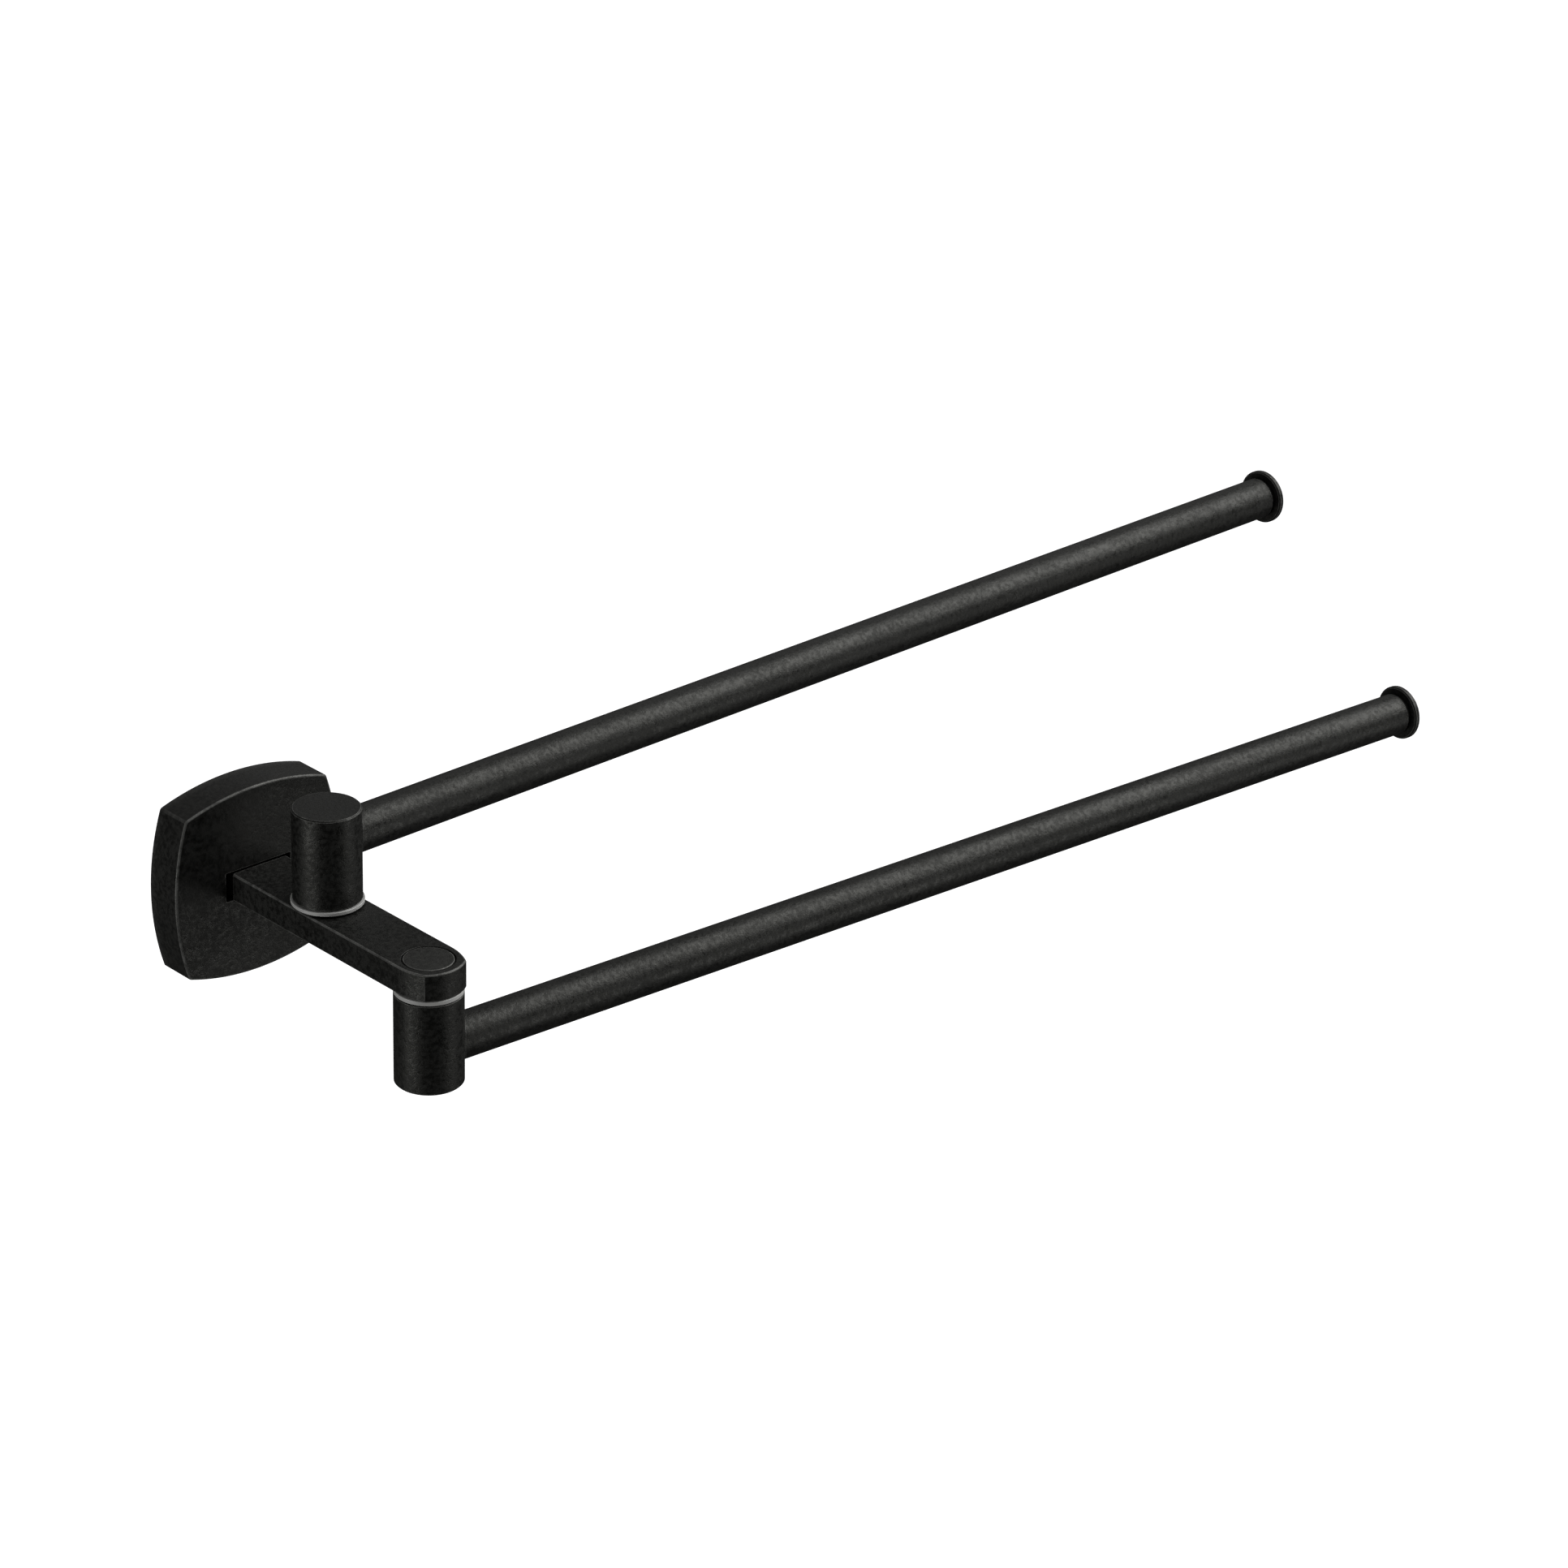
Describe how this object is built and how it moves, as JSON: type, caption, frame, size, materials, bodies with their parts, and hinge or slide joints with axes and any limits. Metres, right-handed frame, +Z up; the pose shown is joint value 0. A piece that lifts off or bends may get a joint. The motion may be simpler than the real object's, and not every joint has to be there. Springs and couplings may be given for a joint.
{
  "type": "towel rack",
  "caption": "Wall-mounted swivel towel rack: a bowed square plate and a flat arm with round towel bars that swing on barrels above and below the arm.",
  "frame": {"origin": "middle of the wall plate's back, on the wall", "axes": "+Y into the wall, +Z up, +X along the bars when they lie beside the wall"},
  "size_m": [0.5158, 0.1451, 0.0819],
  "materials": {
    "black_coat": "satin black powder coat",
    "dark_cast": "satin black coat on a casting",
    "zinc_steel": "zinc plated steel",
    "pale_washer": "pale grey acetal",
    "dark_acetal": "black acetal"
  },
  "bodies": {
    "bracket": {"wall_bracket": "zinc_steel", "wall_plate": "black_coat", "plate_set_screw": "zinc_steel", "arm_foot": "dark_cast", "arm": "black_coat", "arm_bolt": "zinc_steel", "arm_dowels": "zinc_steel", "upper_pivot_bush": "dark_acetal", "upper_spacer": "dark_acetal", "upper_friction_washer": "pale_washer", "lower_pivot_bush": "dark_acetal", "lower_friction_washer": "pale_washer"},
    "upper_bar": {"upper_barrel": "black_coat", "upper_pivot_screw": "zinc_steel", "upper_spring_washer": "zinc_steel", "upper_pivot_cap": "black_coat", "upper_bar_tube": "black_coat", "upper_root_plug": "zinc_steel", "upper_bar_stud": "zinc_steel", "upper_end_cap": "black_coat"},
    "lower_bar": {"lower_barrel": "black_coat", "lower_pivot_screw": "zinc_steel", "lower_spring_washer": "zinc_steel", "lower_pivot_cap": "black_coat", "lower_bar_tube": "black_coat", "lower_root_plug": "zinc_steel", "lower_bar_stud": "zinc_steel", "lower_end_cap": "black_coat"}
  },
  "joints": [
    {"name": "upper_swing", "type": "hinge", "parent": "bracket", "child": "upper_bar", "pos_m": [0, -0.0535, 0.0245], "axis": [0, 0, 1], "range_deg": [-185, 2.5]},
    {"name": "lower_swing", "type": "hinge", "parent": "bracket", "child": "lower_bar", "pos_m": [0, -0.108, -0.0234], "axis": [0, 0, 1], "range_deg": [-186, 13]}
  ]
}
